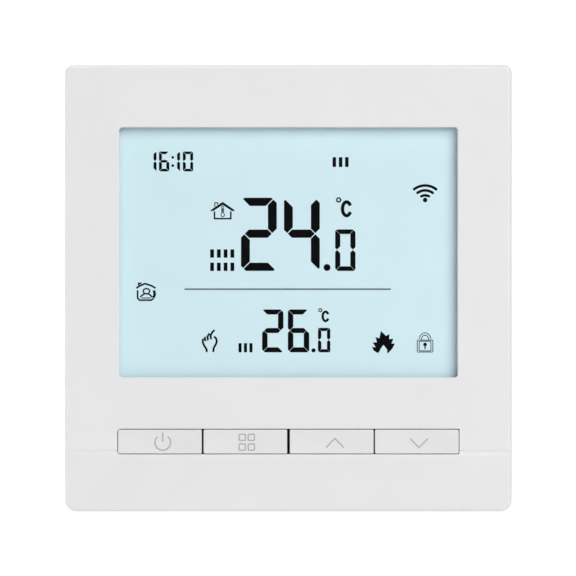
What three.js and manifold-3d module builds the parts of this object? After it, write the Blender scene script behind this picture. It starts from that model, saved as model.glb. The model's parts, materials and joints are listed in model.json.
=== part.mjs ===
// A flush-mounted digital room thermostat for a square wall box, in millimetres.
// The face looks along -Y, +Z is up, and the wall's surface is the plane y = 0.
// The front unit (cover, display, keys, control board) pulls off the base (wall plate, rear housing,
// power board, terminals). Every separate piece is one named mesh.
import * as THREE from "three";
import { mergeVertices } from "three/addons/utils/BufferGeometryUtils.js";
import Module from "manifold-3d";

const wasm = await Module();
wasm.setup();

// ---------------------------------------------------------------- driving dimensions

const FACE = 86; // side of the square face
const PROUD = 13; // from the wall to the front face
const HOUSING_DEPTH = 27; // from the wall to the back of the rear housing
const GAP = 0.05; // left between pieces that rest on each other
const ARC_STEPS = 4; // straight pieces in a quarter of a small arc
const ROUND_SIDES = 16; // sides of a round piece

const FRONT = -PROUD; // y of the face
const SKIN = 1.6; // thickness of the cover's face
const SIDE_WALL = 2; // thickness of the cover's four walls
const WALL_CLEARANCE = 0.5; // from the wall to the rim of the cover
const INNER_HALF = FACE / 2 - SIDE_WALL;

const WINDOW = { width: 65.2, height: 48.2, z: 6.9, radius: 0.6 };
const KEY_ROW = { width: 65.8, height: 4.9, z: -29.5 };
const KEY_GAPS = [0.35, 0.5, 0.25]; // between the keys, from left to right
const KEY_PITCH = 16.5;
const KEY_CLEARANCE = 0.15; // around the row of keys
const KEY_PROUD = 0.4;
const KEY_NAMES = ["power", "menu", "up", "down"];

const WALL_SCREW_HALF_PITCH = 30; // standard 60 mm pitch of the wall box lugs
const POLES = 6;
const POLE_PITCH = 7.62;

// Depth of each layer of the front unit, from the face towards the wall.
const SKIN_BACK = FRONT + SKIN;
const PANE = { front: SKIN_BACK + GAP, thickness: 0.7, width: 70, height: 53 };
const LCD = { front: PANE.front + PANE.thickness + GAP, glass: 1.1 };
const LCD_BACK = LCD.front + 2 * LCD.glass;
const BOARD = { front: -6.2, thickness: 1.2, halfX: 39.5, halfZ: 39.2 };
const BOARD_BACK = BOARD.front + BOARD.thickness;
const BACK_PLATE = { front: -2.6, back: -1.3, half: 40 };
const SCREW_ROOM = 0.2; // between a screw's shaft and its bore
const THROUGH_UNIT = [-9, 0]; // depths of a hole through the control board or the back plate
const THROUGH_PLATE = [-5, 5]; // depths of a hole through the wall plate
const HEAD_POCKET = 1.4; // depth of the pockets for the unit screws' heads
const UNIT_SCREW = { x: 36.8, z: 37, shaft: 0.9, head: 1.8, headHeight: 1.1 };

// Where the parts stand on the control board and on the power board, in x and z.
const CONTROL_PARTS = { chip: [-14, 8], radio: [16, 16], sensor: [-24, -34] };
const POWER_PARTS = {
  relay: [-16, 6.5],
  transformer: [2, 8],
  capacitor: [17.5, 15.5],
  varistor: [17.5, -4.5],
  fuse: [17.5, 4.5],
};

// Layers of the base.
const PLATE = { front: -1, half: 39.5, radius: 3 };
const HOUSING = { halfX: 25.5, halfZ: 24.5, wall: 1.6, front: GAP, radius: 2.5 };
const POWER_BOARD = { front: 8, thickness: 1.6 };
const POWER_BACK = POWER_BOARD.front + POWER_BOARD.thickness;
const HOUSING_SCREW = { x: 21.6, z: 20.6, shaft: 1.1, head: 2.3, headHeight: 1 };

// ---------------------------------------------------------------- materials

const material = (color, roughness, metalness = 0) =>
  new THREE.MeshStandardMaterial({ color, roughness, metalness });

const MATERIALS = {
  whiteShell: material(0xebebec, 0.45),
  whiteKey: material(0xe6e6e7, 0.4),
  clearPane: material(0xdfeef2, 0.1),
  displayGlass: material(0xd4edf4, 0.25),
  lightGuide: material(0xf4f6f2, 0.3),
  frameWhite: material(0xdcdcd8, 0.6),
  rubberGrey: material(0x9a9a96, 0.8),
  boardGreen: material(0x1d5a38, 0.55),
  chipBlack: material(0x1b1b1d, 0.6),
  ledBody: material(0xf2ecd0, 0.4),
  shieldTin: material(0xb9bcbe, 0.3, 1),
  sensorEpoxy: material(0x2a2520, 0.5),
  switchBlack: material(0x222224, 0.6),
  plungerWhite: material(0xd9d6cc, 0.5),
  zincSteel: material(0xb4b7ba, 0.35, 1),
  housingWhite: material(0xe0e0de, 0.55),
  lidBlack: material(0x2b2c2e, 0.6),
  relayBlue: material(0x2c5f9e, 0.45),
  coilYellow: material(0xd3a92c, 0.55),
  sleeveBlack: material(0x24272c, 0.4),
  discBlue: material(0x2b52a0, 0.45),
  fuseBrown: material(0x5c4032, 0.5),
  pinGold: material(0xc9a34e, 0.3, 1),
  terminalGreen: material(0x2f7d4f, 0.5),
  brass: material(0xc8a75a, 0.3, 1),
};

// ---------------------------------------------------------------- solids and booleans

// A closed geometry as a solid that can be joined and cut.
function solid(geometry) {
  const bare = geometry.clone();
  bare.deleteAttribute("normal");
  bare.deleteAttribute("uv");
  const merged = mergeVertices(bare, 1e-4);
  return new wasm.Manifold(
    new wasm.Mesh({
      numProp: 3,
      vertProperties: new Float32Array(merged.attributes.position.array),
      triVerts: new Uint32Array(merged.index.array),
    }),
  );
}

const join = (...pieces) => pieces.reduce((whole, piece) => whole.add(piece));
const cut = (whole, ...pieces) => pieces.reduce((rest, piece) => rest.subtract(piece), whole);

// The solid back as a named mesh.
function mesh(name, piece, look) {
  const { vertProperties, triVerts } = piece.getMesh();
  const geometry = new THREE.BufferGeometry()
    .setAttribute("position", new THREE.BufferAttribute(vertProperties, 3))
    .setIndex(new THREE.BufferAttribute(triVerts, 1));
  geometry.computeVertexNormals();
  const made = new THREE.Mesh(geometry, look);
  made.name = name;
  return made;
}

// Puts a board's part at its x and z, with its own zero depth at y.
const placeOn = (part, [x, z], y) => part.position.set(x, y, z);

// A box between two corners given as ranges along X, Y and Z.
function box([x0, x1], [y0, y1], [z0, z1]) {
  const geometry = new THREE.BoxGeometry(x1 - x0, y1 - y0, z1 - z0);
  return solid(geometry.translate((x0 + x1) / 2, (y0 + y1) / 2, (z0 + z1) / 2));
}

// A box centred on x and z, from one depth to another.
const block = (x, z, width, height, y0, y1) =>
  box([x - width / 2, x + width / 2], [y0, y1], [z - height / 2, z + height / 2]);

// A cylinder along Y between two depths.
function rod(x, z, radius, y0, y1, sides = ROUND_SIDES) {
  const geometry = new THREE.CylinderGeometry(radius, radius, y1 - y0, sides);
  return solid(geometry.translate(x, (y0 + y1) / 2, z));
}

// A round piece turned about Y from [radius, y] points, which start and end on the axis.
function turned(points, sides = ROUND_SIDES) {
  const profile = points.map(([radius, y]) => new THREE.Vector2(radius, y));
  return solid(new THREE.LatheGeometry(profile, sides));
}

// A rectangle about (0, 0) with a radius for each corner: top left, top right, bottom right, bottom left.
function rectangle(width, height, radii) {
  const [topLeft, topRight, bottomRight, bottomLeft] = Array.isArray(radii) ? radii : Array(4).fill(radii);
  const x = width / 2;
  const y = height / 2;
  const shape = new THREE.Shape();
  const corner = (cx, cy, radius, start) =>
    shape.absarc(cx, cy, radius, start, start + Math.PI / 2, false);
  corner(x - topRight, y - topRight, topRight, 0);
  corner(-x + topLeft, y - topLeft, topLeft, Math.PI / 2);
  corner(-x + bottomLeft, -y + bottomLeft, bottomLeft, Math.PI);
  corner(x - bottomRight, -y + bottomRight, bottomRight, 1.5 * Math.PI);
  shape.closePath();
  return shape;
}

// An outline drawn in X and Z, extruded along Y between two depths.
function slab(shape, y0, y1, z = 0) {
  const geometry = new THREE.ExtrudeGeometry(shape, {
    depth: y1 - y0,
    bevelEnabled: false,
    curveSegments: ARC_STEPS,
  });
  return solid(geometry.rotateX(Math.PI / 2).translate(0, y1, z));
}

// The same with its front edge rounded over by the given radius.
function roundedFront(width, height, radii, y0, y1, fillet, filletSteps = 2) {
  const inset = radii.map((radius) => radius - fillet);
  const geometry = new THREE.ExtrudeGeometry(rectangle(width - 2 * fillet, height - 2 * fillet, inset), {
    depth: y1 - y0,
    bevelThickness: fillet,
    bevelSize: fillet,
    bevelSegments: filletSteps,
    curveSegments: filletSteps,
  });
  const whole = solid(geometry.rotateX(Math.PI / 2).translate(0, y1 + fillet, 0));
  const margin = 1;
  return cut(whole, block(0, 0, width + margin, height + margin, y1, y1 + 3 * fillet));
}

// An outline drawn in Y and Z, extruded along X to both sides of the middle.
function channel(points, width) {
  const shape = new THREE.Shape(points.map(([y, z]) => new THREE.Vector2(y, z)));
  const geometry = new THREE.ExtrudeGeometry(shape, { depth: width, bevelEnabled: false });
  return solid(geometry.applyMatrix4(yzToX).translate(-width / 2, 0, 0));
}
const yzToX = new THREE.Matrix4().set(0, 0, 1, 0, 1, 0, 0, 0, 0, 1, 0, 0, 0, 0, 0, 1);

const fourCorners = (x, z) => [
  [-x, z],
  [x, z],
  [-x, -z],
  [x, -z],
];

// ---------------------------------------------------------------- front cover

const SNAP_X = 20; // the snap noses and the plate's tabs, either side of the middle
const SNAP_NOSE = { width: 6, depth: 0.6, front: -3.2, back: -2.2 };

// Slots in the top and bottom walls, which let room air past the sensor.
function ventCutters() {
  const slots = [];
  const slotWidth = 5;
  const slotHeight = 1.2;
  const slotPitch = 7;
  const slotFront = -8.2;
  for (const side of [-1, 1])
    for (let i = -4; i <= 4; i++) {
      const z = (side * (FACE - SIDE_WALL)) / 2;
      slots.push(
        block(i * slotPitch, z, slotWidth, SIDE_WALL + 1, slotFront, slotFront + slotHeight),
      );
    }
  return slots;
}

// The shallow groove on both sides of the keys: steep above, sloping back out below.
function sideGroove() {
  const depth = 0.25;
  const top = -31;
  const bottom = -32.1;
  return channel(
    [
      [FRONT - 1, top],
      [FRONT - 1, bottom],
      [FRONT, bottom],
      [FRONT + depth, bottom + 0.55],
      [FRONT + depth, top - 0.15],
      [FRONT, top],
    ],
    FACE + 2,
  );
}

function frontCover() {
  const outline = [1.4, 1.4, 2.2, 2.2];
  const fillet = 0.8;
  const rim = -WALL_CLEARANCE;
  const shell = cut(
    roundedFront(FACE, FACE, outline, FRONT, rim, fillet, 4),
    slab(rectangle(2 * INNER_HALF, 2 * INNER_HALF, 1), SKIN_BACK, 1),
  );
  const seatWidth = PANE.width + 1;
  const seatHeight = PANE.height + 1;
  const rib = 2.4;
  const windowRib = cut(
    block(0, WINDOW.z, seatWidth + rib, seatHeight + rib, SKIN_BACK - 0.1, SKIN_BACK + 0.6),
    block(0, WINDOW.z, seatWidth, seatHeight, SKIN_BACK - 1, SKIN_BACK + 1),
  );
  const bossRadius = UNIT_SCREW.shaft + 1.2;
  const bosses = fourCorners(UNIT_SCREW.x, UNIT_SCREW.z).map(([x, z]) =>
    rod(x, z, bossRadius, SKIN_BACK - 0.1, BOARD.front - GAP),
  );
  const noses = fourCorners(SNAP_X, INNER_HALF - SNAP_NOSE.depth / 2).map(([x, z]) =>
    block(x, z, SNAP_NOSE.width, SNAP_NOSE.depth + 0.02, SNAP_NOSE.front, SNAP_NOSE.back),
  );
  const boreHoles = fourCorners(UNIT_SCREW.x, UNIT_SCREW.z).map(([x, z]) =>
    rod(x, z, UNIT_SCREW.shaft + SCREW_ROOM, SKIN_BACK + 1, 0),
  );
  const windowHole = slab(
    rectangle(WINDOW.width, WINDOW.height, WINDOW.radius),
    FRONT - 1,
    SKIN_BACK + 1,
    WINDOW.z,
  );
  const keyHole = slab(
    rectangle(KEY_ROW.width, KEY_ROW.height, [0.6, 0.2, 0.2, 0.6]),
    FRONT - 1,
    SKIN_BACK + 1,
    KEY_ROW.z,
  );
  const pry = { x: 12, width: 5, height: 1.6, depth: 1 };
  const pryNotches = [-pry.x, pry.x].map((x) =>
    block(x, -FACE / 2, pry.width, pry.height, rim - pry.depth, rim + 1),
  );
  return mesh(
    "front_cover",
    cut(
      join(shell, windowRib, ...bosses, ...noses),
      ...boreHoles,
      windowHole,
      keyHole,
      sideGroove(),
      ...ventCutters(),
      ...pryNotches,
    ),
    MATERIALS.whiteShell,
  );
}

// ---------------------------------------------------------------- display

const GLASS = { halfX: 34.3, top: 33, ledge: 2.6 };
const LCD_BOTTOM = -20.5; // lower edge of the rear glass, with the contact ledge
const HOLDER = { halfX: 35.9, top: 34.5, bottom: -22, back: BOARD.front - GAP };

function displayWindow() {
  const outline = rectangle(PANE.width, PANE.height, 1);
  const pane = slab(outline, PANE.front, PANE.front + PANE.thickness, WINDOW.z);
  return mesh("display_window", pane, MATERIALS.clearPane);
}

// Two glasses, the rear one longer at the foot, where the contact strip meets it.
function lcdPanel() {
  const x = [-GLASS.halfX, GLASS.halfX];
  const middle = LCD.front + LCD.glass;
  const frontGlass = box(x, [LCD.front, middle], [LCD_BOTTOM + GLASS.ledge, GLASS.top]);
  const rearGlass = box(x, [middle, LCD_BACK], [LCD_BOTTOM, GLASS.top]);
  return mesh("lcd_panel", join(frontGlass, rearGlass), MATERIALS.displayGlass);
}

const LED = { x: 32.7, width: 1.6, height: 3.5, heights: { upper: 16, lower: -3 } };

// The light guide behind the glass, notched at its right edge for the two light sources.
function lcdBacklight() {
  const depth = [LCD_BACK + 0.1, BOARD.front - 0.3];
  const guide = box([-GLASS.halfX, GLASS.halfX], depth, [LCD_BOTTOM + GLASS.ledge, GLASS.top]);
  const notches = Object.values(LED.heights).map((z) =>
    box([LED.x - 1.1, GLASS.halfX + 1], [LCD_BACK - 1, 0], [z - 2.2, z + 2.2]),
  );
  return mesh("lcd_backlight", cut(guide, ...notches), MATERIALS.lightGuide);
}

function backlightLeds() {
  return Object.entries(LED.heights).map(([place, z]) => {
    const body = block(LED.x, z, LED.width, LED.height, BOARD.front - 1.6, BOARD.front - GAP);
    const lens = block(LED.x - 0.85, z, 0.3, 2.4, BOARD.front - 1.4, BOARD.front - 0.3);
    return mesh("backlight_led_" + place, join(body, lens), MATERIALS.ledBody);
  });
}

const HOLDER_PEGS = [
  [-30, HOLDER.top - 0.9],
  [30, HOLDER.top - 0.9],
  [-30, HOLDER.bottom + 0.7],
  [30, HOLDER.bottom + 0.7],
];

// The frame that keeps glass and light guide together on the board.
function lcdHolder() {
  const front = LCD.front + 0.3;
  const frame = cut(
    box([-HOLDER.halfX, HOLDER.halfX], [front, HOLDER.back], [HOLDER.bottom, HOLDER.top]),
    box([-GLASS.halfX - 0.2, GLASS.halfX + 0.2], [front - 1, 0], [LCD_BOTTOM - 0.2, GLASS.top + 0.2]),
  );
  const pegs = HOLDER_PEGS.map(([x, z]) => rod(x, z, 0.6, HOLDER.back - 1, BOARD_BACK - 0.2, 12));
  return mesh("lcd_holder", join(frame, ...pegs), MATERIALS.frameWhite);
}

function contactStrip() {
  const z = [LCD_BOTTOM + 0.2, LCD_BOTTOM + GLASS.ledge - 0.4];
  const strip = box([-30, 30], [LCD_BACK + GAP, BOARD.front - GAP], z);
  return mesh("contact_strip", strip, MATERIALS.rubberGrey);
}

// ---------------------------------------------------------------- keys and switches

// Left edge and width of each key: the gaps differ a little, as the keys sit loosely in their slot.
function keyPlaces() {
  const left = -KEY_ROW.width / 2 + KEY_CLEARANCE;
  const right = KEY_ROW.width / 2 - KEY_CLEARANCE;
  const middles = [-KEY_PITCH, 0, KEY_PITCH];
  const starts = [left, ...middles.map((x, i) => x + KEY_GAPS[i] / 2)];
  const ends = [...middles.map((x, i) => x - KEY_GAPS[i] / 2), right];
  return KEY_NAMES.map((name, i) => ({ name, x: (starts[i] + ends[i]) / 2, width: ends[i] - starts[i] }));
}

const SWITCH = { side: 6, height: 3.4, well: 1.7, plunger: 1.5, travelRoom: 0.5 };
const SWITCH_TOP = BOARD.front - GAP - SWITCH.height;
const PLUNGER_TOP = SWITCH_TOP - 0.7;

function key({ name, x, width }) {
  const height = KEY_ROW.height - 2 * KEY_CLEARANCE;
  const edge = 0.2;
  const lip = 0.7;
  const capFront = FRONT - KEY_PROUD;
  const flangeFront = SKIN_BACK + GAP;
  const flangeBack = flangeFront + 0.7;
  const corner = edge + 0.1;
  const cap = roundedFront(width, height, Array(4).fill(corner), capFront, flangeFront, edge);
  const flange = block(0, 0, width, height + 2 * lip, flangeFront - 0.01, flangeBack);
  const stem = rod(0, 0, 1.2, flangeBack - 0.1, PLUNGER_TOP - GAP);
  const made = mesh("key_" + name, join(cap, flange, stem), MATERIALS.whiteKey);
  made.position.set(x, 0, KEY_ROW.z);
  return made;
}

function switchBody({ name, x }) {
  const back = BOARD.front - GAP;
  const body = block(0, 0, SWITCH.side, SWITCH.side, SWITCH_TOP, back);
  const well = rod(0, 0, SWITCH.well, SWITCH_TOP - 1, SWITCH_TOP + 1.6);
  const legs = fourCorners(SWITCH.side / 2, 2.2).map(([legX, z]) =>
    block(legX, z, 0.6, 0.7, SWITCH_TOP + 2, back),
  );
  const made = mesh("switch_body_" + name, cut(join(body, ...legs), well), MATERIALS.switchBlack);
  made.position.set(x, 0, KEY_ROW.z);
  return made;
}

function switchPlunger({ name, x }) {
  const foot = SWITCH_TOP + 1.6 - SWITCH.travelRoom;
  const made = mesh(
    "switch_plunger_" + name,
    rod(0, 0, SWITCH.plunger, PLUNGER_TOP, foot),
    MATERIALS.plungerWhite,
  );
  made.position.set(x, 0, KEY_ROW.z);
  return made;
}

// ---------------------------------------------------------------- control board

const SOCKET = { x: 0, z: -12, width: 10.8, height: 5.6, columns: 4, rows: 2, pitch: 2.54 };

// The places of the header's pins, seen from the front.
function pinPlaces() {
  const places = [];
  for (let column = 0; column < SOCKET.columns; column++)
    for (let row = 0; row < SOCKET.rows; row++)
      places.push([
        SOCKET.x + (column - (SOCKET.columns - 1) / 2) * SOCKET.pitch,
        SOCKET.z + (row - (SOCKET.rows - 1) / 2) * SOCKET.pitch,
      ]);
  return places;
}

function controlBoard() {
  const sheet = slab(rectangle(2 * BOARD.halfX, 2 * BOARD.halfZ, 2), BOARD.front, BOARD_BACK);
  const screwHoles = fourCorners(UNIT_SCREW.x, UNIT_SCREW.z).map(([x, z]) =>
    rod(x, z, UNIT_SCREW.shaft + SCREW_ROOM + 0.1, ...THROUGH_UNIT),
  );
  const pegHoles = HOLDER_PEGS.map(([x, z]) => rod(x, z, 0.8, ...THROUGH_UNIT, 12));
  return mesh("control_board", cut(sheet, ...screwHoles, ...pegHoles), MATERIALS.boardGreen);
}

// A square chip with a row of leads along each side.
function controllerChip() {
  const side = 7;
  const leads = 8;
  const pitch = 0.8;
  const seat = BOARD_BACK + GAP;
  const pieces = [block(0, 0, side, side, seat + 0.1, seat + 1.4)];
  for (let i = 0; i < leads; i++) {
    const along = (i - (leads - 1) / 2) * pitch;
    for (const out of [-side / 2, side / 2])
      pieces.push(
        block(along, out, 0.3, 1.6, seat, seat + 0.3),
        block(out, along, 1.6, 0.3, seat, seat + 0.3),
      );
  }
  const made = mesh("controller_chip", join(...pieces), MATERIALS.chipBlack);
  placeOn(made, CONTROL_PARTS.chip, 0);
  return made;
}

// The radio module: a small board with a shield can and a bare antenna end.
function wifiModule() {
  const seat = BOARD_BACK + GAP;
  const carrier = block(0, 0, 16, 20, seat, seat + 0.7);
  const shield = block(0, -3, 14, 12, seat + 0.6, seat + 2.1);
  const made = mesh("wifi_module", join(carrier, shield), MATERIALS.shieldTin);
  placeOn(made, CONTROL_PARTS.radio, 0);
  return made;
}

// A thermistor bead on two legs, close to the lower air slots.
function roomSensor() {
  const seat = BOARD_BACK + GAP;
  const bead = solid(new THREE.SphereGeometry(1.1, 12, 8).translate(0, seat + 1.4, -1.5));
  const legs = [-0.5, 0.5].map((x) => box([x - 0.2, x + 0.2], [seat, seat + 1.5], [-1.4, 2]));
  const made = mesh("room_sensor", join(bead, ...legs), MATERIALS.sensorEpoxy);
  placeOn(made, CONTROL_PARTS.sensor, 0);
  return made;
}

function boardSocket() {
  const body = block(
    SOCKET.x,
    SOCKET.z,
    SOCKET.width,
    SOCKET.height,
    BOARD_BACK + GAP,
    BACK_PLATE.back - 0.1,
  );
  const holes = pinPlaces().map(([x, z]) => block(x, z, 1, 1, BOARD_BACK + 0.5, 0));
  return mesh("board_socket", cut(body, ...holes), MATERIALS.chipBlack);
}

// The plate that closes the front unit: spacers to the board, and clearance for the base's screw heads.
function unitBackPlate() {
  const outline = rectangle(2 * BACK_PLATE.half, 2 * BACK_PLATE.half, 2);
  const sheet = slab(outline, BACK_PLATE.front, BACK_PLATE.back);
  const spacers = fourCorners(UNIT_SCREW.x, UNIT_SCREW.z).map(([x, z]) =>
    rod(x, z, UNIT_SCREW.head + 1.1, BOARD_BACK + GAP, BACK_PLATE.front + 0.1),
  );
  const screwHoles = fourCorners(UNIT_SCREW.x, UNIT_SCREW.z).flatMap(([x, z]) => [
    rod(x, z, UNIT_SCREW.shaft + SCREW_ROOM, ...THROUGH_UNIT),
    rod(x, z, UNIT_SCREW.head + 0.2, BACK_PLATE.back - HEAD_POCKET, 0),
  ]);
  const wallScrewRoom = [-1, 1].map((side) =>
    block(side * WALL_SCREW_HALF_PITCH, 0, 14, 10, ...THROUGH_UNIT),
  );
  const housingScrewRoom = fourCorners(HOUSING_SCREW.x, HOUSING_SCREW.z).map(([x, z]) =>
    rod(x, z, HOUSING_SCREW.head + 1, ...THROUGH_UNIT),
  );
  const tabRoom = fourCorners(SNAP_X, BACK_PLATE.half).map(([x, z]) =>
    block(x, z, 12, 3.2, ...THROUGH_UNIT),
  );
  const socketRoom = block(
    SOCKET.x,
    SOCKET.z,
    SOCKET.width + 1,
    SOCKET.height + 1,
    ...THROUGH_UNIT,
  );
  return mesh(
    "unit_back_plate",
    cut(
      join(sheet, ...spacers),
      ...screwHoles,
      ...wallScrewRoom,
      ...housingScrewRoom,
      ...tabRoom,
      ...airSlots(),
      socketRoom,
    ),
    MATERIALS.frameWhite,
  );
}

// Air slots in the back plate, over the sensor.
function airSlots() {
  const [sensorX, sensorZ] = CONTROL_PARTS.sensor;
  const pitch = 2.5;
  const slots = [];
  for (let i = -2; i <= 2; i++)
    slots.push(block(sensorX + i * pitch, sensorZ + 1, 1.2, 7, ...THROUGH_UNIT));
  return slots;
}

// ---------------------------------------------------------------- screws

// A pan-head screw with a cross recess, its head towards -Y or +Y, from under the head at y = 0.
function screw(name, { shaft, head, headHeight, length, facing = -1 }, look) {
  const profile = [
    [0, facing * headHeight],
    [head * 0.7, facing * headHeight],
    [head, facing * headHeight * 0.5],
    [head, 0],
    [shaft, 0],
    [shaft, -facing * (length - shaft)],
    [0, -facing * length],
  ];
  const body = turned(facing < 0 ? profile : profile.reverse());
  const recessY = [facing * headHeight * 0.45, facing * (headHeight + 1)].sort((a, b) => a - b);
  const arm = head * 1.1;
  const cross = join(block(0, 0, arm, head * 0.22, ...recessY), block(0, 0, head * 0.22, arm, ...recessY));
  return mesh(name, cut(body, cross), look);
}

function unitScrews() {
  const spec = { ...UNIT_SCREW, length: 7.4, facing: 1 };
  return fourCorners(UNIT_SCREW.x, UNIT_SCREW.z).map(([x, z], i) => {
    const made = screw("unit_screw_" + (i + 1), spec, MATERIALS.zincSteel);
    made.position.set(x, BACK_PLATE.back - HEAD_POCKET + GAP, z);
    return made;
  });
}

function wallScrews() {
  const spec = { shaft: 1.9, head: 3.8, headHeight: 1.9, length: 25, facing: -1 };
  return ["left", "right"].map((side, i) => {
    const made = screw("wall_screw_" + side, spec, MATERIALS.zincSteel);
    made.position.set((2 * i - 1) * WALL_SCREW_HALF_PITCH, PLATE.front - GAP, 0);
    return made;
  });
}

function housingScrews() {
  const spec = { ...HOUSING_SCREW, length: 6.6, facing: -1 };
  return fourCorners(HOUSING_SCREW.x, HOUSING_SCREW.z).map(([x, z], i) => {
    const made = screw("housing_screw_" + (i + 1), spec, MATERIALS.zincSteel);
    made.position.set(x, PLATE.front - GAP, z);
    return made;
  });
}

// ---------------------------------------------------------------- base

const TAB = { width: 10, height: 3, thickness: 0.8, z: 40.3 };

// A slot with round ends, long along X or along Z.
function slotCutter(x, z, length, width, upright) {
  const [w, h] = upright ? [width, length] : [length, width];
  return slab(rectangle(w, h, width / 2 - 0.01), ...THROUGH_PLATE).translate([x, 0, z]);
}

// The steel plate on the wall: screw slots on the wall box's pitch, and folded tabs for the snap noses.
function mountingPlate() {
  const sheet = slab(rectangle(2 * PLATE.half, 2 * PLATE.half, PLATE.radius), PLATE.front, 0);
  const tabs = fourCorners(SNAP_X, TAB.z - TAB.thickness / 2).map(([x, z]) =>
    block(x, z, TAB.width, TAB.thickness, PLATE.front - TAB.height, 0),
  );
  const necks = fourCorners(SNAP_X, PLATE.half).map(([x, z]) =>
    block(x, z, TAB.width, 1.6, PLATE.front, 0),
  );
  const tabWindows = fourCorners(SNAP_X, TAB.z).map(([x, z]) =>
    block(x, z, SNAP_NOSE.width + 1, 4, SNAP_NOSE.front - 0.3, SNAP_NOSE.back + 0.4),
  );
  const slotLength = 9;
  const slotWidth = 4.6;
  const slots = [-1, 1].flatMap((side) => [
    slotCutter(side * WALL_SCREW_HALF_PITCH, 0, slotLength, slotWidth, false),
    slotCutter(0, side * WALL_SCREW_HALF_PITCH, slotLength, slotWidth, true),
  ]);
  const holes = fourCorners(HOUSING_SCREW.x, HOUSING_SCREW.z).map(([x, z]) =>
    rod(x, z, HOUSING_SCREW.shaft + SCREW_ROOM, ...THROUGH_PLATE),
  );
  const headerHole = slab(rectangle(18, 12, 1.5), ...THROUGH_PLATE, SOCKET.z);
  return mesh(
    "mounting_plate",
    cut(join(sheet, ...tabs, ...necks), ...tabWindows, ...slots, ...holes, headerHole),
    MATERIALS.zincSteel,
  );
}

const TERMINAL = { halfX: 23.4, bottom: -24.4, top: -12.4, front: POWER_BACK + 0.1, back: 26.9 };

// The box that goes into the wall box, open at the front and notched at the lower rear for the terminals.
function rearHousing() {
  const innerX = HOUSING.halfX - HOUSING.wall;
  const innerZ = HOUSING.halfZ - HOUSING.wall;
  const innerBack = HOUSING_DEPTH - HOUSING.wall;
  const outer = slab(
    rectangle(2 * HOUSING.halfX, 2 * HOUSING.halfZ, HOUSING.radius),
    HOUSING.front,
    HOUSING_DEPTH,
  );
  const hollow = slab(rectangle(2 * innerX, 2 * innerZ, 1), HOUSING.front - 1, innerBack);
  const bossSide = 6;
  const bosses = fourCorners(HOUSING_SCREW.x + 0.7, HOUSING_SCREW.z + 0.7).map(([x, z]) =>
    block(x, z, bossSide, bossSide, HOUSING.front, POWER_BOARD.front - 1),
  );
  const boreHoles = fourCorners(HOUSING_SCREW.x, HOUSING_SCREW.z).map(([x, z]) =>
    rod(x, z, HOUSING_SCREW.shaft + SCREW_ROOM, -1, POWER_BOARD.front - 2),
  );
  const notch = box(
    [-TERMINAL.halfX - 0.2, TERMINAL.halfX + 0.2],
    [TERMINAL.front - 0.2, HOUSING_DEPTH + 1],
    [-HOUSING.halfZ - 1, TERMINAL.top + 0.2],
  );
  return mesh(
    "rear_housing",
    cut(join(cut(outer, hollow), ...bosses), ...boreHoles, notch, ...housingVents()),
    MATERIALS.housingWhite,
  );
}

// Cooling slots in the top wall, both side walls and the back.
function housingVents() {
  const slots = [];
  const pitch = 3.4;
  const backPitch = 5;
  const width = 1.4;
  const length = 10;
  const through = 2 * HOUSING.wall + 0.4;
  const front = 13;
  for (let i = -1; i <= 1; i++) {
    slots.push(block(i * pitch, HOUSING.halfZ, width, through, front, front + length));
    slots.push(block(i * backPitch, 14, width, length, HOUSING_DEPTH - 3, HOUSING_DEPTH + 1));
    for (const side of [-1, 1])
      slots.push(block(side * HOUSING.halfX, (i + 1) * pitch, through, width, front, front + length));
  }
  return slots;
}

// The insulating lid between the plate and the power board, with posts that hold the board down.
function housingLid() {
  const thickness = 1.2;
  const front = 0.4;
  const innerX = HOUSING.halfX - HOUSING.wall - 0.3;
  const innerZ = HOUSING.halfZ - HOUSING.wall - 0.3;
  const sheet = box([-innerX, innerX], [front, front + thickness], [-innerZ, innerZ]);
  const cornerRoom = fourCorners(HOUSING_SCREW.x, HOUSING_SCREW.z).map(([x, z]) =>
    block(x + Math.sign(x), z + Math.sign(z), 8, 8, -1, 9),
  );
  const posts = fourCorners(14, innerZ - 1.5).map(([x, z]) =>
    rod(x, z, 1.4, front + thickness - 0.1, POWER_BOARD.front - GAP),
  );
  const headerRoom = block(SOCKET.x, SOCKET.z, SOCKET.width + 1, SOCKET.height + 1, -1, 9);
  return mesh("housing_lid", cut(join(sheet, ...posts), ...cornerRoom, headerRoom), MATERIALS.lidBlack);
}

function powerBoard() {
  const innerX = HOUSING.halfX - HOUSING.wall - 0.2;
  const innerZ = HOUSING.halfZ - HOUSING.wall - 0.2;
  const sheet = slab(rectangle(2 * innerX, 2 * innerZ, 1.5), POWER_BOARD.front, POWER_BACK);
  const trackSlot = slab(rectangle(16, 1.4, 0.69), POWER_BOARD.front - 1, POWER_BACK + 1, -4.5);
  return mesh("power_board", cut(sheet, trackSlot), MATERIALS.boardGreen);
}

const PART_SEAT = POWER_BACK + GAP;

function relay() {
  const body = roundedFront(10.4, 28.6, Array(4).fill(0.9), -13, 0, 0.6);
  const made = mesh("relay", body, MATERIALS.relayBlue);
  made.rotation.z = Math.PI;
  placeOn(made, POWER_PARTS.relay, PART_SEAT);
  return made;
}

// A ferrite frame round a taped winding on a flanged bobbin.
function transformer() {
  const top = PART_SEAT + 13.5;
  const bobbin = block(0, 0, 14, 13, PART_SEAT, PART_SEAT + 2.4);
  const winding = slab(rectangle(13, 11, 3), PART_SEAT + 2.3, top - 1.4);
  const core = cut(
    block(0, 0, 16, 6, PART_SEAT + 1, top),
    block(0, 0, 12.4, 8, PART_SEAT + 3.4, top - 2.6),
  );
  const made = mesh("transformer", join(bobbin, winding, core), MATERIALS.coilYellow);
  placeOn(made, POWER_PARTS.transformer, 0);
  return made;
}

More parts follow.
